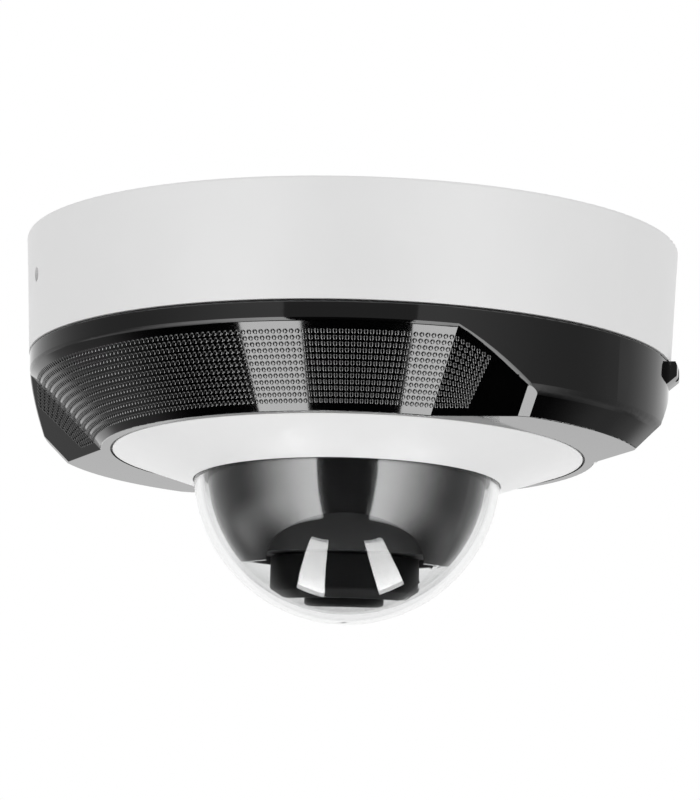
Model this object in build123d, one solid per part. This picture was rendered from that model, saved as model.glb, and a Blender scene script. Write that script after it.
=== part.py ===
from build123d import *
import math
import os

# Ceiling dome camera, millimetres. +Z is up and the origin is the centre of the ceiling face, so the
# camera hangs towards -Z. Azimuth 0 is the -Y side (middle of the patterned front), and it grows
# towards +X. The eyeball is panned to azimuth PAN_REST and its lens looks almost straight down.

# Driving dimensions
BASE_R = 55.0            # white base at the ceiling
SEAM_R = 54.04           # white base at the seam
SEAM_Z = -19.84
LAND_Z = -35.73          # flat underside of the black trim
RING_TIP_R = 25.87       # inner edge of the white face ring
RING_TIP_Z = -40.47
DOME_Z = -38.35          # centre of the bubble, the liner and the eyeball
BUBBLE_R = 25.8
BUBBLE_WALL = 1.6
LINER_R = 23.4
LINER_WALL = 1.4
EYE_R = 21.6
PAN_REST = 35.5
LENS_REST = 4.5          # rest tilt of the lens axis, away from the pan direction
TILT_RANGE = 35.0

# Base
FLOOR = 2.6
WALL = 2.4
SPIGOT_R = 51.3
SPIGOT_IN_R = 49.6
SPIGOT_Z = -22.7
MOUNT_R = 44.0
MOUNT_HOLE_R = 2.25
GROMMET_XY = (20.0, 33.0)
GROMMET_HOLE_R = 6.5
CABLE_R = 3.0
MIC_AZ = -38.5
MIC_Z = -9.0

# Trim
TRIM_TOP_Z = -20.05
TRIM_TOP_R = 53.95
TRIM_IN_R = 51.6
SKIN = 2.6
EAR_TOP_R = 53.47
EAR_TOP_Z = -31.9
EAR_LAND_R = 49.8
BEVEL_TOP_R = 53.9
BEVEL_TOP_Z = -23.1
BEVEL_LAND_R = 41.5
CREASE_AZ = 54.0
EAR_CORNER_AZ = 70.0
EAR_CHAMFER = 1.0        # flat strip between a facet and its ear
EAR_SOFT = 2.5           # rounding between the wall and the ear's bevel
EDGE_SOFT = 0.9          # rounding of the bevel's upper edges
LAND_SOFT = 0.25
LAND_HOLE_R = 39.9
LAND_THICK = 1.6
RING_SEAT_R = 39.49      # where the white face ring meets the trim
CLAMP_SCREW_R = 34.4
LOCK_AZ = 118.3
LOCK_Z = -21.85
LOCK_R = 1.1

# Board, chassis and pan bearing
BOARD_R = 39.0
BOARD_TOP = -6.4
BOARD_LOW = -8.0
CHASSIS_TOP = -11.6
CHASSIS_LOW = -12.6
CHASSIS_R = 27.2
POST_R = 43.0
POST_AZ = (45.0, -45.0, 125.0)
STANDOFF_R = 35.0
STANDOFF_AZ = (15.0, 100.0, -80.0, 180.0)
JACK_Y = 32.65
PAN_R = 25.5
PAN_TOP = -13.2
PAN_LOW = -14.6
BEARING_SCREW_R = 26.4
LINER_SCREW_R = 20.2
RUNNING = 0.05           # radial clearance of the running fits

# Lens block, as distances from the eyeball's centre along the lens axis
MOUTH_H = 15.65
EYE_FLAT_H = 14.2
EYE_WALL = 1.4
BLOCK_TOP_H = 14.6
BLOCK_R = 12.45
NECK_R = 10.2
PIN_R = 1.5
BARREL_R = 5.5
BEZEL_R = 6.65

os.makedirs("parts", exist_ok=True)


def spin(*points):
    """Full turn of an outline of (radius, height) points about Z."""
    return revolve(Plane.XZ * Polygon(*points, align=None), Axis.Z)


def arc_spin(azimuth, width, *points):
    """Part of a turn, width degrees wide, centred on an azimuth."""
    piece = revolve(Plane.XZ * Polygon(*points, align=None), Axis.Z, width)
    return Rot(0, 0, azimuth - 90 - width / 2) * piece


def disc(radius, low, high, hole=0.0):
    """Flat ring or disc between two heights."""
    body = Pos(0, 0, (low + high) / 2) * Cylinder(radius, high - low)
    if hole > 0:
        body -= Pos(0, 0, (low + high) / 2) * Cylinder(hole, high - low + 1)
    return body


def block(x, y, low, high, size_x, size_y):
    """Box centred on (x, y) between two heights."""
    return Pos(x, y, (low + high) / 2) * Box(size_x, size_y, high - low)


def outward(azimuth, radius, z=0.0):
    """Place at a radius and azimuth, with local -Y pointing outward."""
    return Rot(0, 0, azimuth) * Pos(0, -radius, z)


def plan_point(radius, azimuth):
    """Point in plan at a radius and azimuth."""
    turn = math.radians(azimuth)
    return Vector(radius * math.sin(turn), -radius * math.cos(turn))


def pillar(azimuth, radius, low, high, pillar_r):
    """Upright cylinder at a radius and azimuth, between two heights."""
    return outward(azimuth, radius, (low + high) / 2) * Cylinder(pillar_r, high - low)


def evenly(count, radius, z, shape):
    """Copies of a shape at even steps round the axis."""
    return [outward(360 / count * index, radius, z) * shape for index in range(count)]


def screw(shank_r, length, head_r, head_h):
    """Socket screw pointing up, its head's seat at the origin."""
    body = Pos(0, 0, length / 2) * Cylinder(shank_r, length)
    head = Pos(0, 0, -head_h / 2) * Cylinder(head_r, head_h)
    head = chamfer(head.edges().group_by(Axis.Z)[0], 0.2 * head_h)
    socket = Pos(0, 0, -head_h) * extrude(RegularPolygon(0.5 * head_r, 6), 0.6 * head_h)
    return body + head - socket


def group(shapes):
    """Separate identical solids kept together as one piece."""
    return Compound(children=[shape.solid() for shape in shapes])


def save(shape, name):
    export_step(shape, f"parts/{name}.step")


def in_pan(shape):
    """From a frame whose -Y faces the pan direction to the row's frame, about the dome centre."""
    return Pos(0, 0, DOME_Z) * Rot(0, 0, PAN_REST) * shape


def in_eye(shape):
    """From the lens frame, whose -Z is the lens axis, to the row's frame."""
    return in_pan(Rot(LENS_REST, 0, 0) * shape)


# ---------------------------------------------------------------- base
def base_housing():
    shell = spin(
        (0, 0), (BASE_R, 0), (SEAM_R, SEAM_Z), (53.2, SEAM_Z), (53.2, SEAM_Z + 1), (52.1, SEAM_Z + 1),
        (52.1, SEAM_Z), (SPIGOT_R, SEAM_Z), (SPIGOT_R, SPIGOT_Z), (SPIGOT_IN_R, SPIGOT_Z),
        (SPIGOT_IN_R, -18.5), (BASE_R - WALL - 0.2, -15.7), (BASE_R - WALL, -FLOOR), (0, -FLOOR),
    )
    shell = fillet(shell.edges().group_by(Axis.Z)[-1], 0.5)
    for azimuth in POST_AZ:
        shell += pillar(azimuth, POST_R, CHASSIS_TOP, -FLOOR, 3.2)
    for azimuth in STANDOFF_AZ:
        shell += pillar(azimuth, STANDOFF_R, BOARD_TOP, -FLOOR, 2.6)
    for azimuth in POST_AZ:
        shell -= outward(azimuth, POST_R, CHASSIS_TOP) * Cylinder(1.25, 14)
    for azimuth in STANDOFF_AZ:
        shell -= outward(azimuth, STANDOFF_R, BOARD_TOP) * Cylinder(1.0, 6)
    for hole in evenly(4, MOUNT_R, 0, Cylinder(MOUNT_HOLE_R, 10)):
        shell -= hole
    for pad in evenly(4, MOUNT_R, -FLOOR - 0.75, Cylinder(4.6, 1.5) - Cylinder(MOUNT_HOLE_R, 2)):
        shell += pad
    shell -= Pos(*GROMMET_XY, 0) * Cylinder(GROMMET_HOLE_R, 10)
    shell -= outward(MIC_AZ, BASE_R, MIC_Z) * Rot(90, 0, 0) * Cylinder(1.25, 8)
    shell -= outward(180, BASE_R, -4.5) * Box(16, 12, 9.01)
    # relief recess in the ceiling face, so that only a rim and the screw pads touch the ceiling
    relief = disc(37, -0.8, 1, hole=14)
    relief -= Pos(*GROMMET_XY, 0) * Cylinder(GROMMET_HOLE_R + 2, 4)
    return shell - relief


def cable_grommet():
    profile = spin(
        (CABLE_R, 0.0), (GROMMET_HOLE_R, 0.0), (GROMMET_HOLE_R, -FLOOR), (8.2, -FLOOR), (8.2, -3.8),
        (4.6, -5.2), (CABLE_R, -5.2),
    )
    return Pos(*GROMMET_XY, 0) * profile


def side_outlet_plug():
    plug = outward(180, BASE_R - 1.4, -4.5) * Box(15.8, 8, 8.8)
    plug &= arc_spin(180, 60, (BASE_R - 5, 0), (BASE_R, 0), (BASE_R - 0.44, -9), (BASE_R - 5, -9))
    finger_groove = outward(180, BASE_R + 0.2, -6.6) * Box(8, 1.2, 1.4)
    return plug - finger_groove


# ---------------------------------------------------------------- electronics
def main_board():
    board = disc(BOARD_R, BOARD_LOW, BOARD_TOP)
    board += block(-20, 32, BOARD_LOW, BOARD_TOP, 20, 17)
    board -= Pos(GROMMET_XY[0], GROMMET_XY[1], BOARD_LOW) * Cylinder(9.5, 8)
    for azimuth in STANDOFF_AZ:
        board -= outward(azimuth, STANDOFF_R, BOARD_LOW) * Cylinder(1.1, 8)
    return board


def ethernet_jack():
    """Socket whose mouth faces +X, with a roof step for the plug's latch."""
    jack = block(-20.1, JACK_Y, -21.3, BOARD_LOW, 17, 15.5)
    jack -= block(-14.6, JACK_Y, -19.8, -12.9, 13, 11.8)
    jack -= block(-14.6, JACK_Y, -12.95, -11.4, 13, 6.0)
    return jack


def board_screws():
    fastener = screw(1.0, 4.4, 1.9, 1.2)
    return group([outward(azimuth, STANDOFF_R, BOARD_LOW) * fastener for azimuth in STANDOFF_AZ])


def ethernet_contacts():
    pins = []
    for index in range(8):
        y = JACK_Y + 1.02 * (index - 3.5)
        pins.append(block(-16.0, y, -19.75, -19.35, 6, 0.5))
    return group(pins)


def capacitors():
    cans = []
    for x, y in ((-31.0, -13.0), (-30.0, 6.0), (-30.0, 13.6)):
        can = Pos(x, y, BOARD_LOW - 3.2) * Cylinder(3.1, 6.4)
        cans.append(chamfer(can.edges().group_by(Axis.Z)[0], 0.3))
    return group(cans)


def microsd_socket():
    shell = block(-14, -27.5, -9.9, BOARD_LOW, 14, 14.6)
    return shell - block(-13, -27.5, -9.55, -8.35, 14.5, 11.4)


def reset_switch():
    body = block(12, -28, -9.8, BOARD_LOW, 4.6, 4.6)
    return body - Pos(12, -28, -9.8) * Cylinder(1.35, 2.4)


def microphone():
    return outward(MIC_AZ, 49.4, MIC_Z) * Rot(90, 0, 0) * Cylinder(2.0, 2.6)


def microphone_boot():
    boot = outward(MIC_AZ, 50.0, MIC_Z) * Rot(90, 0, 0) * Cylinder(3.2, 5.2)
    boot -= outward(MIC_AZ, 48.2, MIC_Z) * Rot(90, 0, 0) * Cylinder(2.0, 5.0)
    boot -= outward(MIC_AZ, 51.0, MIC_Z) * Rot(90, 0, 0) * Cylinder(1.1, 8.0)
    return boot & disc(52.4, -20, 0)


# ---------------------------------------------------------------- chassis and pan bearing
def chassis_plate():
    plate = disc(CHASSIS_R, CHASSIS_LOW, CHASSIS_TOP)
    for azimuth in POST_AZ:
        ear = Rot(0, 0, azimuth) * block(0, -34, CHASSIS_LOW, CHASSIS_TOP, 8, 18)
        plate += ear + outward(azimuth, POST_R, (CHASSIS_LOW + CHASSIS_TOP) / 2) * Cylinder(4, 1)
    plate -= disc(7, CHASSIS_LOW - 1, CHASSIS_TOP + 1)
    for azimuth in POST_AZ:
        plate -= outward(azimuth, POST_R, CHASSIS_LOW) * Cylinder(1.35, 4)
    for hole in evenly(3, BEARING_SCREW_R, CHASSIS_LOW, Cylinder(0.5, 4)):
        plate -= hole
    return plate


def chassis_screws():
    fastener = screw(1.25, 6.0, 2.3, 1.5)
    return group([outward(azimuth, POST_R, CHASSIS_LOW) * fastener for azimuth in POST_AZ])


def bearing_ring():
    ring = spin(
        (PAN_R + RUNNING, CHASSIS_LOW), (CHASSIS_R, CHASSIS_LOW), (CHASSIS_R, -15.6), (23.9, -15.6),
        (23.9, PAN_LOW - 0.15), (PAN_R + RUNNING, PAN_LOW - 0.15),
    )
    for hole in evenly(3, BEARING_SCREW_R, -14, Cylinder(0.5, 6)):
        ring -= hole
    return ring


def bearing_screws():
    return group(evenly(3, BEARING_SCREW_R, -15.6, screw(0.5, 3.9, 0.75, 0.6)))


def pan_plate():
    plate = disc(PAN_R, PAN_LOW, PAN_TOP, hole=6)
    for head_seat in evenly(3, LINER_SCREW_R, PAN_TOP, Cylinder(1.9, 2.0)):
        plate -= head_seat
    for hole in evenly(3, LINER_SCREW_R, PAN_LOW, Cylinder(1.0, 4.0)):
        plate -= hole
    return Rot(0, 0, PAN_REST) * plate


def liner_screws():
    screws = evenly(3, LINER_SCREW_R, PAN_TOP - 1.0, Rot(180, 0, 0) * screw(1.0, 2.3, 1.9, 1.0))
    return group([Rot(0, 0, PAN_REST) * placed for placed in screws])


def dome_liner():
    """Cup with a round bottom, a tilted mouth and a slot that lets the lens block swing forward."""
    top = PAN_LOW - DOME_Z
    inner_r = LINER_R - LINER_WALL
    outer = Sphere(LINER_R) - Pos(0, 0, 30) * Box(60, 60, 60)
    outer += disc(LINER_R, 0, top)
    inner = Sphere(inner_r) - Pos(0, 0, 30) * Box(60, 60, 60)
    inner += disc(inner_r, 0, top - 2.0)
    inner += disc(18.3, 0, top + 1)
    cup = outer - inner
    cup -= Rot(LENS_REST, 0, 0) * Pos(0, 0, -MOUTH_H - 10) * Box(60, 60, 20)
    slot_r = BLOCK_R + 0.3
    slot_end = TILT_RANGE + 0.4
    reach = 40.0
    forward = reach * math.tan(math.radians(slot_end))
    sweep = Plane.YZ * Polygon((0, 0), (0, -reach), (-forward, -reach), align=None)
    slot = extrude(sweep, slot_r, both=True)
    slot += Rot(-slot_end, 0, 0) * Pos(0, 0, -19) * Cylinder(slot_r, 22)
    cup -= Rot(LENS_REST, 0, 0) * slot
    cup -= Rot(0, 90, 0) * Cylinder(PIN_R, 60)
    for hole in evenly(3, LINER_SCREW_R, top, Cylinder(1.0, 4.2)):
        cup -= hole
    return in_pan(cup)


def tilt_pins():
    pin = Rot(0, 90, 0) * Cylinder(PIN_R, 7.2)
    return group([in_pan(Pos(side * 19.6, 0, 0) * pin) for side in (-1, 1)])


def tilt_clips():
    clips = []
    for side in (-1, 1):
        clip = Cylinder(2.9, 0.5) - Cylinder(PIN_R, 1) - Pos(2.5, 0, 0) * Box(3.4, 1.8, 1)
        clips.append(in_pan(Pos(side * 16.35, 0, 0) * Rot(0, 90, 0) * clip))
    return group(clips)


# ---------------------------------------------------------------- eyeball and lens block
def eyeball():
    shell = Sphere(EYE_R) - Sphere(EYE_R - EYE_WALL)
    plate = disc(18, -EYE_FLAT_H, -EYE_FLAT_H + 1.6) & Sphere(EYE_R)
    boss = Rot(0, 90, 0) * Cylinder(3.4, 2 * 20.6)
    boss -= Box(2 * 16.7, 10, 10)
    shell += plate + boss
    shell -= Rot(0, 90, 0) * Cylinder(PIN_R + RUNNING, 60)
    shell -= Pos(0, 0, -EYE_FLAT_H - 10) * Box(60, 60, 20)
    shell -= Pos(0, 0, 6 + 15) * Box(60, 60, 30)
    shell -= disc(NECK_R + RUNNING, -20, 0)
    return in_eye(shell)


def lens_block():
    body = spin(
        (9.4, -10.8), (NECK_R, -10.8), (NECK_R, -BLOCK_TOP_H), (BLOCK_R, -BLOCK_TOP_H), (BLOCK_R, -20.0),
        (10.4, -21.3), (7.0, -21.3), (7.0, -19.8), (10.2, -19.8), (11.0, -19.2), (11.0, -16.0),
        (9.4, -16.0),
    )
    rims = [edge for edge in body.edges().filter_by(GeomType.CIRCLE) if edge.radius > 10.3]
    front_rims = [edge for edge in rims if edge.center().Z < -19.9]
    body = fillet(front_rims, 0.5)
    # grip notch that shows which way is up for the picture
    body -= Pos(0, -9.2, -21.3) * Box(1.2, 1.8, 0.8)
    return in_eye(body)


def lens_bezel():
    return in_eye(spin(
        (BARREL_R, -18.6), (BEZEL_R, -18.6), (BEZEL_R, -22.3), (6.35, -22.6), (5.9, -22.6), (4.95, -21.3),
        (4.95, -20.6), (BARREL_R, -20.6),
    ))


def front_lens():
    """Domed front glass seated in the bezel."""
    dome_r = 9.0
    crown = -22.1
    glass = disc(4.9, -23, -20.6) & Pos(0, 0, crown + dome_r) * Sphere(dome_r)
    return in_eye(glass)


def inner_lenses():
    elements = []
    for low, high in ((-16.4, -15.4), (-18.2, -17.0), (-20.0, -18.8)):
        ball = 12.0
        lens = disc(4.0, low, high) & Pos(0, 0, low + ball) * Sphere(ball)
        elements.append(in_eye(lens))
    return group(elements)


# ---------------------------------------------------------------- cover
def facet_plane_cut(azimuth_sign, rear):
    """What lies outside the flat facet between a front crease and an ear, within its own sector."""
    near = plan_point(BEVEL_LAND_R, CREASE_AZ)
    far = plan_point(EAR_LAND_R, EAR_CORNER_AZ)
    along = (far - near).normalized()
    normal_az = math.degrees(math.atan2(along.Y, along.X))
    distance = near.X * math.sin(math.radians(normal_az)) - near.Y * math.cos(math.radians(normal_az))
    top_distance = BEVEL_TOP_R * math.cos(math.radians(CREASE_AZ - normal_az))
    lean = math.degrees(math.atan2(top_distance - distance, BEVEL_TOP_Z - LAND_Z))
    outside = outward(normal_az, distance, LAND_Z) * Rot(lean, 0, 0) * Pos(0, -30, 0) * Box(160, 60, 120)
    reach = 90.0
    crease_end = plan_point(reach, CREASE_AZ)
    sector = Polygon((0, 0), (crease_end.X, crease_end.Y), (reach, 0), align=None)
    wedge = extrude(Pos(0, 0, -50) * sector, 50)
    cut = outside & wedge
    if azimuth_sign < 0:
        cut = mirror(cut, Plane.YZ)
    if rear:
        cut = mirror(cut, Plane.XZ)
    return cut


def heights(edge):
    """Lower and upper end of an edge."""
    return sorted([edge.position_at(0).Z, edge.position_at(1).Z])


def level_near(edge, z, slack):
    low, high = heights(edge)
    return abs(low - z) < slack and abs(high - z) < slack


def soften_trim(body):
    """Flat strips beside the ears, then rounded outer edges; the creases beside the facets stay crisp."""
    body = chamfer(body.edges().filter_by(GeomType.HYPERBOLA), EAR_CHAMFER)
    shoulders = [edge for edge in body.edges() if level_near(edge, EAR_TOP_Z, 0.4) and edge.length > 10]
    body = fillet(shoulders, EAR_SOFT)
    upper = []
    for edge in body.edges():
        low, high = heights(edge)
        runs_down_facet = abs(high - BEVEL_TOP_Z) < 0.5 and EAR_TOP_Z < low < EAR_TOP_Z + 1.5
        if level_near(edge, BEVEL_TOP_Z, 0.3) or runs_down_facet:
            upper.append(edge)
    body = fillet(upper, EDGE_SOFT)
    return fillet([edge for edge in body.edges() if level_near(edge, LAND_Z, 0.02)], LAND_SOFT)


def trim_cover():
    body = spin(
        (0, TRIM_TOP_Z), (TRIM_TOP_R, TRIM_TOP_Z), (EAR_TOP_R, EAR_TOP_Z), (EAR_LAND_R, LAND_Z),
        (0, LAND_Z),
    )
    body = fillet(body.edges().group_by(Axis.Z)[-1], 0.3)
    slope = (BEVEL_TOP_R - BEVEL_LAND_R) / (BEVEL_TOP_Z - LAND_Z)
    low_z = LAND_Z - 5
    high_z = BEVEL_TOP_Z + 6
    for centre in (0, 180):
        body -= arc_spin(
            centre, 2 * CREASE_AZ, (BEVEL_LAND_R - 5 * slope, low_z), (70, low_z), (70, high_z),
            (BEVEL_TOP_R + 6 * slope, high_z),
        )
        for side in (-1, 1):
            body -= facet_plane_cut(side, centre == 180)
    body = soften_trim(body)
    lock_tab = arc_spin(
        LOCK_AZ, 6.6, (52.5, TRIM_TOP_Z), (55.2, TRIM_TOP_Z), (55.5, -20.7), (55.5, -22.5), (53.7, -24.0),
        (52.5, -24.0),
    )
    rounded = [edge for edge in lock_tab.edges() if heights(edge)[1] < -20.3 and edge.center().Z > -23]
    lock_tab = fillet([edge for edge in rounded if abs(heights(edge)[0] - heights(edge)[1]) < 0.01], 0.5)
    body += lock_tab
    floor_z = LAND_Z + LAND_THICK
    wall_z = LAND_Z + TRIM_IN_R - BEVEL_LAND_R + SKIN
    body -= spin(
        (0, floor_z), (BEVEL_LAND_R + LAND_THICK - SKIN, floor_z), (TRIM_IN_R, wall_z), (TRIM_IN_R, -19),
        (0, -19),
    )
    for centre in (-90, 90):
        body -= arc_spin(
            centre, 30, (38, floor_z), (47.4, floor_z), (51.0, -30.2), (TRIM_IN_R, -24), (38, -24),
        )
    body -= disc(LAND_HOLE_R, LAND_Z - 1, -19)
    body -= outward(LOCK_AZ, 54, LOCK_Z) * Rot(90, 0, 0) * Cylinder(LOCK_R, 8)
    return body


def lock_screw():
    pin = Cylinder(LOCK_R, 3.05) - Pos(0, 0, 1.525) * extrude(RegularPolygon(0.62, 6), 1.4, both=True)
    return outward(LOCK_AZ, 53.175, LOCK_Z) * Rot(90, 0, 0) * pin


def face_ring():
    """Sloping ring with a thin skin, a lip that rests on the trim and a seat for the bubble's flange."""
    rise = (LAND_Z - RING_TIP_Z) / (RING_SEAT_R - RING_TIP_R)
    lip_in_r = 38.3
    seat_r = 32.2
    skin = 1.75
    ring = spin(
        (RING_TIP_R, RING_TIP_Z), (RING_SEAT_R, LAND_Z), (RING_SEAT_R, -34.08), (40.5, -34.08),
        (40.5, -32.9), (lip_in_r, -32.9), (lip_in_r, LAND_Z + (lip_in_r - RING_SEAT_R) * rise + skin),
        (seat_r, LAND_Z + (seat_r - RING_SEAT_R) * rise + skin), (seat_r, -37.0), (26.15, -37.0),
        (26.15, -40.1),
    )
    for boss in evenly(6, CLAMP_SCREW_R, -35.6, Cylinder(2.1, 1.2)):
        ring += boss
    for hole in evenly(6, CLAMP_SCREW_R, -35, Cylinder(0.9, 2.4)):
        ring -= hole
    return ring


def dome_bubble():
    inner_r = BUBBLE_R - BUBBLE_WALL
    upper = Pos(0, 0, 30) * Box(80, 80, 60)
    shell = Sphere(BUBBLE_R) - upper - Sphere(inner_r)
    shell += disc(BUBBLE_R, 0, 3.35, hole=inner_r)
    shell += disc(31.6, 1.85, 3.35, hole=inner_r)
    return Pos(0, 0, DOME_Z) * shell


def bubble_clamp_ring():
    ring = disc(36.2, -35.0, -33.9, hole=24.5)
    for hole in evenly(6, CLAMP_SCREW_R, -34.5, Cylinder(1.0, 3)):
        ring -= hole
    return ring


def clamp_screws():
    return group(evenly(6, CLAMP_SCREW_R, -33.9, Rot(180, 0, 0) * screw(0.9, 2.2, 1.7, 1.1)))


# ---------------------------------------------------------------- write every piece
pieces = {
    "base_housing": base_housing(),
    "cable_grommet": cable_grommet(),
    "side_outlet_plug": side_outlet_plug(),
    "cover_gasket": disc(53.1, -20.0, SEAM_Z + 1, hole=52.2),
    "main_board": main_board(),
    "board_screws": board_screws(),
    "soc_chip": block(0, -15, -9.3, BOARD_LOW, 13, 13),
    "heat_pad": block(0, -15, CHASSIS_TOP, -9.3, 12, 12),
    "memory_chips": group([block(x, 4, -9.1, BOARD_LOW, 9, 11) for x in (-14, 14)]),
    "sensor_connector": block(0, 15, -9.6, BOARD_LOW, 12, 4),
    "ethernet_jack": ethernet_jack(),
    "ethernet_contacts": ethernet_contacts(),
    "power_connector": block(29.5, -14, -13.4, BOARD_LOW, 6, 5),
    "poe_transformer": block(33.2, -2.6, -15.0, BOARD_LOW, 9.4, 10.6),
    "capacitors": capacitors(),
    "microsd_socket": microsd_socket(),
    "microsd_card": block(-12.9, -27.5, -9.45, -8.5, 14.0, 11.0),
    "reset_switch": reset_switch(),
    "reset_button": Pos(12, -28, -10.2) * Cylinder(1.0, 2.6),
    "microphone": microphone(),
    "microphone_boot": microphone_boot(),
    "chassis_plate": chassis_plate(),
    "chassis_screws": chassis_screws(),
    "friction_washer": disc(20, CHASSIS_LOW - 0.5, CHASSIS_LOW, hole=12),
    "bearing_ring": bearing_ring(),
    "bearing_screws": bearing_screws(),
    "pan_plate": pan_plate(),
    "liner_screws": liner_screws(),
    "dome_liner": dome_liner(),
    "tilt_pins": tilt_pins(),
    "tilt_clips": tilt_clips(),
    "eyeball": eyeball(),
    "lens_block": lens_block(),
    "block_retainer": in_eye(disc(12.0, -12.4, -11.2, hole=NECK_R)),
    "sensor_board": in_eye(disc(9.2, -12.4, -11.4)),
    "image_sensor": in_eye(block(0, 0, -13.3, -12.4, 8.0, 6.4)),
    "lens_holder": in_eye(disc(6.9, -18.5, -12.4, hole=BARREL_R)),
    "infrared_filter": in_eye(disc(BARREL_R, -14.5, -14.0)),
    "lens_barrel": in_eye(disc(BARREL_R, -20.6, -14.8, hole=4.0)),
    "inner_lenses": inner_lenses(),
    "front_lens": front_lens(),
    "lens_bezel": lens_bezel(),
    "trim_cover": trim_cover(),
    "face_ring": face_ring(),
    "dome_bubble": dome_bubble(),
    "bubble_gasket": disc(31.5, -37.0, -36.5, hole=27.0),
    "bubble_clamp_ring": bubble_clamp_ring(),
    "clamp_screws": clamp_screws(),
    "lock_screw": lock_screw(),
}
for node_name, shape in pieces.items():
    save(shape, node_name)
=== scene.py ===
import math

import bpy
from mathutils import Matrix, Vector
from mathutils.bvhtree import BVHTree


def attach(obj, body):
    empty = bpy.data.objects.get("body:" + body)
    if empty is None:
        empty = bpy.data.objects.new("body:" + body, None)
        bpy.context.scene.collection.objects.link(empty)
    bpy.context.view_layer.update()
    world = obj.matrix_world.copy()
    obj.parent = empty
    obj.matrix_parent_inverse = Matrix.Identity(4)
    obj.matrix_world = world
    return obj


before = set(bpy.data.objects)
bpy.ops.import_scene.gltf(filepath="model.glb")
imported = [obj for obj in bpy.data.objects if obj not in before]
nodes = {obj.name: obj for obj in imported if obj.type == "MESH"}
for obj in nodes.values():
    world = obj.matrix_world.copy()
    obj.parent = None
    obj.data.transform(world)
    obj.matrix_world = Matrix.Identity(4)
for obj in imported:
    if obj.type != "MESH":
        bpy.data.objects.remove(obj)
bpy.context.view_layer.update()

MM = 0.001
CLOUD_SCALE = 60.0        # slow changes of colour, per metre
PATCH_SCALE = 258.0       # changes of gloss, per metre
DRAWN_SCALE = 900.0       # drawn lines of metal, per metre

# Where the viewer stands: this azimuth from -Y, growing towards +X. Lights and camera are placed in a
# frame whose -Y faces the viewer, and turned to the object's frame by to_row.
VIEW_AZ = 35.5
to_row = Matrix.Rotation(math.radians(VIEW_AZ), 4, "Z")


# ------------------------------------------------------------------ materials
class Tree:
    """Short calls for building a shader node tree."""

    def __init__(self, tree):
        self.tree = tree
        self.tree.nodes.clear()

    def add(self, kind, **settings):
        node = self.tree.nodes.new("ShaderNode" + kind)
        for key, value in settings.items():
            setattr(node, key, value)
        return node

    def link(self, source, target):
        self.tree.links.new(source, target)

    def place(self):
        return self.add("TexCoord").outputs["Object"]

    def noise(self, coords, scale, detail=3.0, roughness=0.55, stretch=None):
        if stretch is not None:
            mapping = self.add("Mapping")
            mapping.inputs["Scale"].default_value = stretch
            self.link(coords, mapping.inputs["Vector"])
            coords = mapping.outputs["Vector"]
        node = self.add("TexNoise")
        node.inputs["Scale"].default_value = scale
        node.inputs["Detail"].default_value = detail
        node.inputs["Roughness"].default_value = roughness
        self.link(coords, node.inputs["Vector"])
        return node.outputs["Fac"]

    def ramp(self, value, low, high):
        """Noise value, whose middle part 0.3..0.7 is spread to low..high."""
        node = self.add("MapRange")
        node.inputs["From Min"].default_value = 0.3
        node.inputs["From Max"].default_value = 0.7
        node.inputs["To Min"].default_value = low
        node.inputs["To Max"].default_value = high
        self.link(value, node.inputs["Value"])
        return node.outputs["Result"]

    def spread(self, value, start, end, low, high):
        """Smooth step from low at start to high at end."""
        node = self.add("MapRange", interpolation_type="SMOOTHSTEP")
        node.inputs["From Min"].default_value = start
        node.inputs["From Max"].default_value = end
        node.inputs["To Min"].default_value = low
        node.inputs["To Max"].default_value = high
        self.link(value, node.inputs["Value"])
        return node.outputs["Result"]

    def blend(self, value, colour_a, colour_b, low=0.3, high=0.7):
        node = self.add("ValToRGB")
        node.color_ramp.elements[0].position = low
        node.color_ramp.elements[1].position = high
        node.color_ramp.elements[0].color = (*colour_a, 1)
        node.color_ramp.elements[1].color = (*colour_b, 1)
        self.link(value, node.inputs["Fac"])
        return node.outputs["Color"]

    def bump(self, value, strength, distance):
        node = self.add("Bump")
        node.inputs["Strength"].default_value = strength
        node.inputs["Distance"].default_value = distance
        self.link(value, node.inputs["Height"])
        return node.outputs["Normal"]

    def math(self, operation, a, b=None, clamp=False):
        node = self.add("Math", operation=operation, use_clamp=clamp)
        for index, value in enumerate((a, b)):
            if value is None:
                continue
            if isinstance(value, (int, float)):
                node.inputs[index].default_value = value
            else:
                self.link(value, node.inputs[index])
        return node.outputs[0]


def material(name):
    mat = bpy.data.materials.new(name)
    mat.use_nodes = True
    tree = Tree(mat.node_tree)
    shader = tree.add("BsdfPrincipled")
    out = tree.add("OutputMaterial")
    tree.link(shader.outputs[0], out.inputs["Surface"])
    return mat, tree, shader, out


def moulded(name, colour, spread, rough, rough_spread, grain, grain_height, ior=1.5, shine=0.5):
    """Moulded plastic: slow colour clouding, a fine moulded grain and uneven gloss."""
    mat, tree, shader, _ = material(name)
    where = tree.place()
    slow = tree.noise(where, CLOUD_SCALE, 3.0)
    light = tuple(min(1.0, c * (1 + spread)) for c in colour)
    dark = tuple(c * (1 - spread) for c in colour)
    tree.link(tree.blend(slow, dark, light), shader.inputs["Base Color"])
    patchy = tree.noise(where, PATCH_SCALE, 4.0)
    tree.link(tree.ramp(patchy, rough - rough_spread, rough + rough_spread), shader.inputs["Roughness"])
    fine = tree.noise(where, grain, 2.0)
    tree.link(tree.bump(fine, 1.0, grain_height), shader.inputs["Normal"])
    shader.inputs["IOR"].default_value = ior
    shader.inputs["Specular IOR Level"].default_value = shine
    return mat


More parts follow.
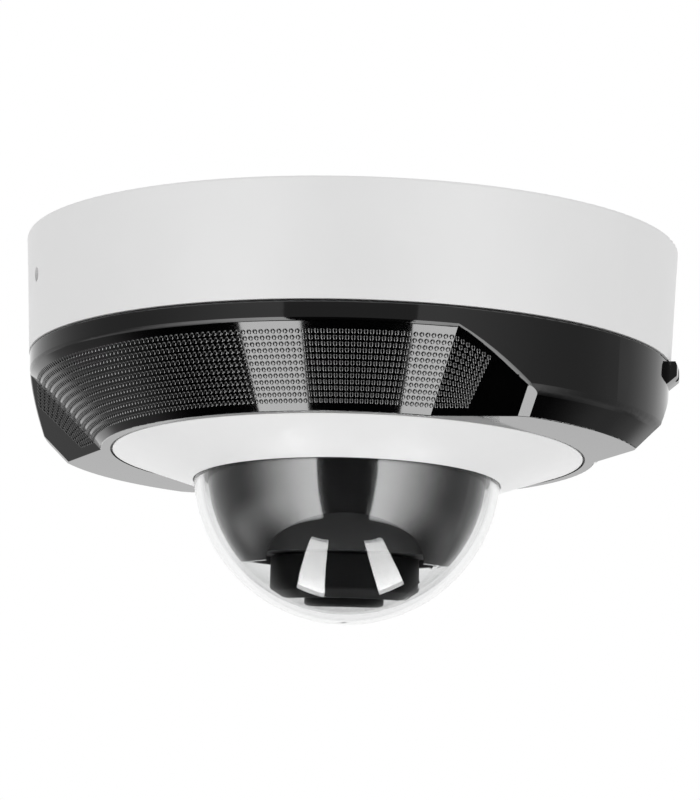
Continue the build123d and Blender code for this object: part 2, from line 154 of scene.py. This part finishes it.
def metal(name, colour, rough, stretch):
    """Bare or plated metal with fine drawn lines along one direction."""
    mat, tree, shader, _ = material(name)
    where = tree.place()
    lines = tree.noise(where, DRAWN_SCALE, 4.0, 0.6, stretch)
    light = tuple(min(1.0, c * 1.08) for c in colour)
    dark = tuple(c * 0.86 for c in colour)
    tree.link(tree.blend(lines, dark, light), shader.inputs["Base Color"])
    tree.link(tree.ramp(lines, rough - 0.08, rough + 0.1), shader.inputs["Roughness"])
    tree.link(tree.bump(lines, 0.6, 0.01 * MM), shader.inputs["Normal"])
    shader.inputs["Metallic"].default_value = 1.0
    return mat


def clear_plastic(name, tint, rough, ior):
    """Clear moulding, faintly hazy, that casts only a slight shadow."""
    mat, tree, shader, out = material(name)
    where = tree.place()
    shader.inputs["Transmission Weight"].default_value = 1.0
    shader.inputs["IOR"].default_value = ior
    haze = tree.noise(where, 140.0, 3.0)
    tree.link(tree.ramp(haze, rough, rough + 0.006), shader.inputs["Roughness"])
    tree.link(tree.blend(haze, tint, tuple(min(1.0, c * 1.01) for c in tint)), shader.inputs["Base Color"])
    through = tree.add("BsdfTransparent")
    through.inputs["Color"].default_value = (*tint, 1)
    path = tree.add("LightPath")
    mix = tree.add("MixShader")
    tree.link(path.outputs["Is Shadow Ray"], mix.inputs[0])
    tree.link(shader.outputs[0], mix.inputs[1])
    tree.link(through.outputs[0], mix.inputs[2])
    tree.link(mix.outputs[0], out.inputs["Surface"])
    return mat


def circuit_board(name):
    """Solder mask with copper tracks showing through it and a sprinkle of plated pads."""
    mat, tree, shader, _ = material(name)
    where = tree.place()
    tracks = tree.add("TexVoronoi", distance="MANHATTAN", feature="DISTANCE_TO_EDGE")
    tracks.inputs["Scale"].default_value = 330.0
    tree.link(where, tracks.inputs["Vector"])
    track = tree.math("LESS_THAN", tracks.outputs["Distance"], 0.09)
    pads = tree.add("TexVoronoi", distance="EUCLIDEAN", feature="F1")
    pads.inputs["Scale"].default_value = 420.0
    tree.link(where, pads.inputs["Vector"])
    pad = tree.math("LESS_THAN", pads.outputs["Distance"], 0.16)
    mask = tree.blend(track, (0.004, 0.055, 0.026), (0.012, 0.115, 0.050), 0.0, 1.0)
    mix = tree.add("MixRGB")
    mix.inputs["Color2"].default_value = (0.62, 0.52, 0.30, 1)
    tree.link(pad, mix.inputs["Fac"])
    tree.link(mask, mix.inputs["Color1"])
    tree.link(mix.outputs[0], shader.inputs["Base Color"])
    tree.link(pad, shader.inputs["Metallic"])
    tree.link(tree.ramp(tree.noise(where, 200.0), 0.22, 0.34), shader.inputs["Roughness"])
    tree.link(tree.bump(track, 0.7, 0.02 * MM), shader.inputs["Normal"])
    return mat


def coated_glass(name):
    """Lens glass with a faint blue to violet coating that shifts across the curve."""
    mat, tree, shader, _ = material(name)
    where = tree.place()
    facing = tree.add("LayerWeight")
    facing.inputs["Blend"].default_value = 0.45
    tint = tree.blend(facing.outputs["Facing"], (0.020, 0.030, 0.060), (0.075, 0.030, 0.085), 0.05, 0.8)
    tree.link(tint, shader.inputs["Base Color"])
    tree.link(tree.ramp(tree.noise(where, 300.0), 0.02, 0.04), shader.inputs["Roughness"])
    shader.inputs["IOR"].default_value = 1.7
    shader.inputs["Coat Weight"].default_value = 1.0
    shader.inputs["Coat Roughness"].default_value = 0.01
    return mat


def sensor_glass(name):
    """Sensor window: a fine grid of sites under dark glass."""
    mat, tree, shader, _ = material(name)
    where = tree.place()
    cells = tree.add("TexVoronoi", distance="CHEBYCHEV", feature="F1")
    cells.inputs["Scale"].default_value = 9000.0
    cells.inputs["Randomness"].default_value = 0.0
    tree.link(where, cells.inputs["Vector"])
    site = tree.blend(cells.outputs["Distance"], (0.05, 0.07, 0.11), (0.02, 0.02, 0.04))
    tree.link(site, shader.inputs["Base Color"])
    tree.link(tree.ramp(tree.noise(where, 500.0), 0.08, 0.14), shader.inputs["Roughness"])
    return mat


# moulded: colour, its spread, roughness, its spread, grain per metre, grain height
finishes = {
    "white_shell": moulded("white_shell", (0.79, 0.79, 0.79), 0.010, 0.42, 0.03, 5200.0, 0.006 * MM),
    "white_ring": moulded("white_ring", (0.83, 0.83, 0.83), 0.008, 0.36, 0.03, 4200.0, 0.004 * MM),
    "black_gloss": moulded(
        "black_gloss", (0.0006, 0.0006, 0.0007), 0.10, 0.055, 0.012, 1500.0, 0.0006 * MM, ior=1.6
    ),
    "clear_dome": clear_plastic("clear_dome", (0.97, 0.975, 0.975), 0.0, 1.49),
    "liner_black": moulded("liner_black", (0.005, 0.005, 0.0052), 0.06, 0.15, 0.02, 3800.0, 0.0015 * MM),
    "lens_black": moulded(
        "lens_black", (0.0035, 0.0035, 0.0036), 0.08, 0.50, 0.04, 4600.0, 0.004 * MM, shine=0.07
    ),
    "inner_black": moulded(
        "inner_black", (0.004, 0.004, 0.0041), 0.10, 0.62, 0.05, 3200.0, 0.012 * MM, shine=0.15
    ),
    "rubber": moulded("rubber", (0.028, 0.028, 0.030), 0.12, 0.74, 0.06, 2600.0, 0.020 * MM),
    "circuit_board": circuit_board("circuit_board"),
    "chip": moulded("chip", (0.022, 0.022, 0.024), 0.10, 0.48, 0.06, 5200.0, 0.010 * MM),
    "steel": metal("steel", (0.60, 0.60, 0.62), 0.28, (1, 1, 6)),
    "aluminium": metal("aluminium", (0.74, 0.74, 0.76), 0.34, (1, 14, 1)),
    "contacts": metal("contacts", (0.86, 0.66, 0.30), 0.22, (8, 1, 1)),
    "heat_pad": moulded("heat_pad", (0.36, 0.42, 0.50), 0.06, 0.70, 0.05, 2400.0, 0.020 * MM),
    "acetal": moulded("acetal", (0.62, 0.61, 0.58), 0.03, 0.40, 0.05, 3600.0, 0.008 * MM),
    "lens_glass": coated_glass("lens_glass"),
    "sensor": sensor_glass("sensor"),
}
for node in nodes.values():
    for place in node.material_slots:
        slot_name = place.material.name.split(".")[0]
        place.material = finishes[slot_name]


# ------------------------------------------------------------------ moulded studs of the cover
CREASE_AZ = 54.0          # the bevel's creases, either side of its middle
COLUMN_STEP = 1.09        # degrees between columns on the bevel
ROWS = 12
SLOPE_TOP = (53.9, -23.1)       # radius and height of the bevel's upper edge, mm
SLOPE_LOW = (41.5, -35.73)      # and of its lower edge
MARGIN_TOP = 2.35         # bare strip above the studs, mm
MARGIN_LOW = 2.0          # and below them
FACET_COLUMNS = 7
FACET_STEP = 0.82         # between columns on the flat facet, mm
FACET_STUD = 0.86         # width of its studs against the bevel's top row
FACET_LEAN = 0.70         # how steeply its top row falls away; the bottom row is level
EAR_CORNER = (49.8, 70.0, -35.73)     # radius, azimuth and height where the facet meets the ear
# radius and height of a stud's rings, mm; the first ring is buried in the cover
STUD_PROFILE = ((0.50, -0.046), (0.43, 0.0), (0.36, 0.042), (0.29, 0.070), (0.22, 0.084), (0.15, 0.087))
STUD_SHRINK = 0.84        # width of the lowest row's studs against the top row's
STUD_TALL = 1.13          # height of a stud against its width
STUD_SIDES = 12
MIDDLE = 0.1              # studs nearer the middle than this have no mirror image, mm
REACH = 1.5               # how far from its place a stud looks for the cover's surface, mm


def polar(radius, azimuth, height):
    turn = math.radians(azimuth)
    return Vector((radius * math.sin(turn), -radius * math.cos(turn), height))


cover = nodes["trim_cover"]
cover_tree = BVHTree.FromPolygons(
    [v.co / MM for v in cover.data.vertices], [tuple(p.vertices) for p in cover.data.polygons]
)


def stud_places():
    """Points, outward directions and sizes of the studs over half of the front band."""
    slope_top = Vector(SLOPE_TOP)
    slope_low = Vector(SLOPE_LOW)
    length = (slope_low - slope_top).length
    run = (slope_low - slope_top) / length
    pitch = (length - MARGIN_TOP - MARGIN_LOW) / (ROWS - 1)
    columns = int(CREASE_AZ / COLUMN_STEP)
    step = CREASE_AZ / (columns + 0.5)
    for row in range(ROWS):
        radius, height = slope_top + run * (MARGIN_TOP + row * pitch)
        for column in range(columns + 1):
            azimuth = column * step
            out = polar(1.0, azimuth, 0.0)
            size = 1 - (1 - STUD_SHRINK) * row / (ROWS - 1)
            yield polar(radius, azimuth, height), (out * -run.y + Vector((0, 0, run.x))).normalized(), size
    corner_top = polar(SLOPE_TOP[0], CREASE_AZ, SLOPE_TOP[1])
    corner_low = polar(SLOPE_LOW[0], CREASE_AZ, SLOPE_LOW[1])
    ear_low = polar(*EAR_CORNER)
    down = (corner_low - corner_top).normalized()
    along = (ear_low - corner_low).normalized()
    out = along.cross(down).normalized()
    if out.z > 0:
        out = -out
    fall = along.cross(out)
    if fall.z > 0:
        fall = -fall
    for row in range(ROWS):
        share = row / (ROWS - 1)
        start = corner_top + down * (MARGIN_TOP + row * pitch)
        lean = FACET_LEAN * (1 - share)
        for column in range(FACET_COLUMNS):
            yield start + (along + fall * lean) * (FACET_STEP * (column + 0.5)), out, FACET_STUD


def stud_field(name, flip):
    """All studs of one band as one mesh, each a closed low boss with a flat crown."""
    verts, faces = [], []
    for mirrored in (1, -1):
        for point, out, size in stud_places():
            if mirrored < 0 and abs(point.x) < MIDDLE:
                continue
            point = Vector((point.x * mirrored, point.y * flip, point.z))
            out = Vector((out.x * mirrored, out.y * flip, out.z))
            hit, normal, _, _ = cover_tree.ray_cast(point + out * REACH, -out, 2 * REACH)
            if hit is None:
                continue
            side = normal.cross(Vector((0, 0, 1))).normalized()
            up = side.cross(normal).normalized()
            base = len(verts)
            for radius, height in STUD_PROFILE:
                for corner in range(STUD_SIDES):
                    turn = 2 * math.pi * corner / STUD_SIDES
                    across = side * (size * math.cos(turn))
                    ring = (across + up * (STUD_TALL * math.sin(turn))) * radius
                    verts.append((hit + ring + normal * height) * MM)
            for level in range(len(STUD_PROFILE) - 1):
                low = base + level * STUD_SIDES
                for corner in range(STUD_SIDES):
                    after = (corner + 1) % STUD_SIDES
                    faces.append(
                        (low + corner, low + after, low + STUD_SIDES + after, low + STUD_SIDES + corner)
                    )
            faces.append(tuple(base + corner for corner in reversed(range(STUD_SIDES))))
            crown = base + (len(STUD_PROFILE) - 1) * STUD_SIDES
            faces.append(tuple(crown + corner for corner in range(STUD_SIDES)))
    mesh = bpy.data.meshes.new(name)
    mesh.from_pydata([tuple(v) for v in verts], [], faces)
    mesh.validate()
    mesh.polygons.foreach_set("use_smooth", [True] * len(mesh.polygons))
    mesh.materials.append(finishes["black_gloss"])
    field = bpy.data.objects.new(name, mesh)
    bpy.context.scene.collection.objects.link(field)
    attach(field, "cover")
    return field


stud_field("front_studs", 1)
stud_field("rear_studs", -1)


# ------------------------------------------------------------------ stage, light and camera
def emitter(name, corners, faces, shade):
    """Light panel that the camera and matt surfaces don't see. shade links its shader in the tree."""
    mesh = bpy.data.meshes.new(name)
    mesh.from_pydata([tuple(to_row @ Vector(c)) for c in corners], [], faces)
    mat = bpy.data.materials.new(name)
    mat.use_nodes = True
    tree = Tree(mat.node_tree)
    shade(tree, tree.add("OutputMaterial"))
    mesh.materials.append(mat)
    panel = bpy.data.objects.new(name, mesh)
    bpy.context.scene.collection.objects.link(panel)
    panel.visible_camera = False
    panel.visible_diffuse = False
    return panel


STRIP_DROP = 0.90         # metres below the dome
STRIP_LIGHT = 7.6
STRIP_OUTLINES = {        # corners as shares of the drop: across the view, and along it
    "left": ((-0.205, -0.44), (-0.45, -0.44), (-0.42, 0.55), (-0.16, 0.55)),
    "right": ((0.235, -0.44), (0.485, -0.44), (0.56, 0.55), (0.30, 0.55)),
}


def strip_shade(tree, out):
    glow = tree.add("Emission")
    glow.inputs["Strength"].default_value = STRIP_LIGHT
    tree.link(glow.outputs[0], out.inputs["Surface"])


for side_name, outline in STRIP_OUTLINES.items():
    strip_corners = [(x * STRIP_DROP, y * STRIP_DROP, -STRIP_DROP) for x, y in outline]
    emitter(f"strip_{side_name}", strip_corners, [(0, 1, 2, 3)], strip_shade)

BOX_LIGHT = 4.5
BOX_FAR = 1.1             # metres from the dome
BOX_CENTRE_Z = -0.04
BOX_AZ = (23.0, 98.0)     # either side of the viewer
BOX_RISE = (-44.0, 20.0)
BOX_TOP = (0.68, 0.79)    # shares of the rise between which the light falls off upwards
BOX_TOP_LIGHT = 0.09      # share of the light left above that
BOX_FADE = 1.5            # power of the fall towards the side
BOX_STEPS = 16


def box_shade(tree, out):
    """Light that fades towards the side and the top, and doesn't hide what is behind the panel."""
    span = tree.add("SeparateXYZ")
    tree.link(tree.add("TexCoord").outputs["UV"], span.inputs[0])
    sideways = tree.math("POWER", tree.spread(span.outputs["X"], 0.0, 1.0, 1.0, 0.0), BOX_FADE)
    sideways = tree.math("MULTIPLY", sideways, BOX_LIGHT)
    upward = tree.spread(span.outputs["Y"], *BOX_TOP, 1.0, BOX_TOP_LIGHT)
    glow = tree.add("Emission")
    tree.link(tree.math("MULTIPLY", sideways, upward), glow.inputs["Strength"])
    both = tree.add("AddShader")
    tree.link(glow.outputs[0], both.inputs[0])
    tree.link(tree.add("BsdfTransparent").outputs[0], both.inputs[1])
    tree.link(both.outputs[0], out.inputs["Surface"])


def softbox(name, side):
    """Curved panel round the dome, brightest beside the viewer and fading towards the side."""
    corners, spans, faces = [], [], []
    for row in range(BOX_STEPS + 1):
        for column in range(BOX_STEPS + 1):
            across, up = column / BOX_STEPS, row / BOX_STEPS
            turn = side * math.radians(BOX_AZ[0] + (BOX_AZ[1] - BOX_AZ[0]) * across)
            rise = math.radians(BOX_RISE[0] + (BOX_RISE[1] - BOX_RISE[0]) * up)
            level = BOX_FAR * math.cos(rise)
            height = BOX_CENTRE_Z + BOX_FAR * math.sin(rise)
            corners.append((level * math.sin(turn), -level * math.cos(turn), height))
            spans.append((across, up))
    for row in range(BOX_STEPS):
        for column in range(BOX_STEPS):
            first = row * (BOX_STEPS + 1) + column
            above = first + BOX_STEPS + 1
            faces.append((first, first + 1, above + 1, above))
    panel = emitter(name, corners, faces, box_shade)
    layer = panel.data.uv_layers.new(name="span")
    for loop in panel.data.loops:
        layer.data[loop.index].uv = spans[loop.vertex_index]


softbox("softbox_left", -1)
softbox("softbox_right", 1)


# The surround as glossy surfaces see it. X runs across the view, Y away from the viewer, Z up.
SIDE_LIGHT = 0.27
REAR_LIGHT = 0.83         # added straight behind the object
REAR_POWER = 3.5
REAR_START = -0.17        # Y where the rear light sets in
REAR_FULL = 0.977         # and where it is full, along the line of sight
# Soft-edged parts of it: an amount, then edges, each an axis, where the part sets in and where it is full.
BRIGHTER = (              # amounts are added light
    (0.45, ("X", -0.6, -0.8), ("Z", -0.25, -0.45), ("Y", 0.5, 0.35)),     # low at the left
    (0.10, ("X", 0.6, 0.8), ("Z", -0.25, -0.45), ("Y", 0.5, 0.35)),       # low at the right
    (1.20, ("Z", 0.45, 0.65), ("Y", 0.5, 0.1)),                           # overhead, not behind
)
DIMMER = (                # amounts are shares of the light taken away
    (0.55, ("Y", 0.40, 0.62), ("Z", -0.24, -0.38)),                       # low behind
    (0.98, ("Z", -0.45, -0.80)),                                          # straight below
    (0.90, ("Z", 0.10, -0.02), ("Y", -0.35, -0.75)),                      # viewer's side, up to eye level
)


def zone(tree, axes, edges):
    """1 where every edge is passed and 0 outside."""
    inside = None
    for axis, start, full in edges:
        step = tree.spread(axes.outputs[axis], start, full, 0.0, 1.0)
        inside = step if inside is None else tree.math("MULTIPLY", inside, step)
    return inside


def mirrored_light(tree, axes):
    """Light that glossy surfaces see in a direction, given its axes."""
    rear = tree.math("ADD", axes.outputs["Y"], -REAR_START)
    rear = tree.math("DIVIDE", rear, REAR_FULL - REAR_START, clamp=True)
    rear = tree.math("MULTIPLY", tree.math("POWER", rear, REAR_POWER), REAR_LIGHT)
    light = tree.math("ADD", rear, SIDE_LIGHT)
    for amount, *edges in BRIGHTER:
        light = tree.math("ADD", light, tree.math("MULTIPLY", zone(tree, axes, edges), amount))
    for amount, *edges in DIMMER:
        kept = tree.math("SUBTRACT", 1.0, tree.math("MULTIPLY", zone(tree, axes, edges), amount))
        light = tree.math("MULTIPLY", light, kept)
    return light


MATT_LIGHT_BELOW = 1.06   # light that matt surfaces get from below
MATT_LIGHT_ABOVE = 0.72   # and from above
BACKDROP_FROM = 0.88      # through the clear bubble, directions this far from the viewer show white


def build_world():
    """Studio surround: shaped for gloss, nearly even for matt surfaces, plain white to the camera."""
    world = bpy.data.worlds.new("studio")
    bpy.context.scene.world = world
    world.use_nodes = True
    tree = Tree(world.node_tree)
    turn = tree.add("Mapping", vector_type="VECTOR")
    turn.inputs["Rotation"].default_value = (0, 0, -math.radians(VIEW_AZ))
    tree.link(tree.add("TexCoord").outputs["Generated"], turn.inputs["Vector"])
    axes = tree.add("SeparateXYZ")
    tree.link(turn.outputs["Vector"], axes.inputs[0])
    soft = tree.add("MapRange")
    soft.inputs["From Min"].default_value = -1.0
    soft.inputs["From Max"].default_value = 1.0
    soft.inputs["To Min"].default_value = MATT_LIGHT_BELOW
    soft.inputs["To Max"].default_value = MATT_LIGHT_ABOVE
    tree.link(axes.outputs["Z"], soft.inputs["Value"])
    path = tree.add("LightPath")
    level = tree.add("Mix", data_type="FLOAT")
    tree.link(path.outputs["Is Diffuse Ray"], level.inputs["Factor"])
    tree.link(mirrored_light(tree, axes), level.inputs["A"])
    tree.link(soft.outputs["Result"], level.inputs["B"])
    behind = tree.math("GREATER_THAN", axes.outputs["Y"], BACKDROP_FROM)
    through = tree.math("MULTIPLY", path.outputs["Is Transmission Ray"], behind)
    straight = tree.math("MAXIMUM", path.outputs["Is Camera Ray"], through)
    seen = tree.add("Mix", data_type="FLOAT")
    tree.link(straight, seen.inputs["Factor"])
    tree.link(level.outputs["Result"], seen.inputs["A"])
    seen.inputs["B"].default_value = 1.0
    glow = tree.add("Background")
    glow.inputs["Color"].default_value = (1, 1, 1, 1)
    tree.link(seen.outputs["Result"], glow.inputs["Strength"])
    out = tree.add("OutputWorld")
    tree.link(glow.outputs[0], out.inputs["Surface"])


build_world()

FLOOR_R = 3.2
FLOOR_Z = -1.9


def build_floor():
    """Pale disc far below, which no surface mirrors or picks up."""
    mesh = bpy.data.meshes.new("floor")
    sides = 96
    turns = [2 * math.pi * side / sides for side in range(sides)]
    rim = [(FLOOR_R * math.cos(turn), FLOOR_R * math.sin(turn), FLOOR_Z) for turn in turns]
    mesh.from_pydata(rim, [], [tuple(range(sides))])
    mat, tree, shader, _ = material("floor_paint")
    paint = tree.blend(tree.noise(tree.place(), 3.0), (0.80, 0.80, 0.80), (0.84, 0.84, 0.84))
    tree.link(paint, shader.inputs["Base Color"])
    shader.inputs["Roughness"].default_value = 0.8
    mesh.materials.append(mat)
    floor = bpy.data.objects.new("floor", mesh)
    bpy.context.scene.collection.objects.link(floor)
    floor.visible_glossy = False
    floor.visible_diffuse = False
    floor.visible_transmission = False


build_floor()

# Camera: a little below the object and looking up at it, with a long lens.
CAM_DISTANCE = 0.8953
CAM_DROP = math.radians(12.21)
CAM_YAW = -0.0002         # turns about the sight's up, right and forward axes
CAM_PITCH = -0.0287
CAM_ROLL = -0.025
CAM_LENS = 237.8


def turned(vector, axis, angle):
    return Matrix.Rotation(angle, 3, axis) @ vector


stand = Vector((0, -math.cos(CAM_DROP), -math.sin(CAM_DROP))) * CAM_DISTANCE
sight = -stand.normalized()
right = sight.cross(Vector((0, 0, 1))).normalized()
up = right.cross(sight).normalized()
sight, right = turned(sight, up, CAM_YAW), turned(right, up, CAM_YAW)
sight, up = turned(sight, right, CAM_PITCH), turned(up, right, CAM_PITCH)
right, up = turned(right, sight, CAM_ROLL), turned(up, sight, CAM_ROLL)
camera = bpy.data.objects.new("camera", bpy.data.cameras.new("camera"))
bpy.context.scene.collection.objects.link(camera)
camera.data.lens = CAM_LENS
camera.data.sensor_width = 36.0
camera.data.clip_start = 0.05
camera.data.clip_end = 50.0
placed = Matrix((
    (right.x, up.x, -sight.x, stand.x), (right.y, up.y, -sight.y, stand.y),
    (right.z, up.z, -sight.z, stand.z), (0, 0, 0, 1),
))
camera.matrix_world = to_row @ placed
bpy.context.scene.camera = camera

# ------------------------------------------------------------------ picture settings
scene = bpy.context.scene
scene.view_settings.view_transform = "Standard"
scene.view_settings.look = "None"
scene.cycles.use_denoising = True
scene.cycles.max_bounces = 16
scene.cycles.transmission_bounces = 12
scene.cycles.transparent_max_bounces = 12
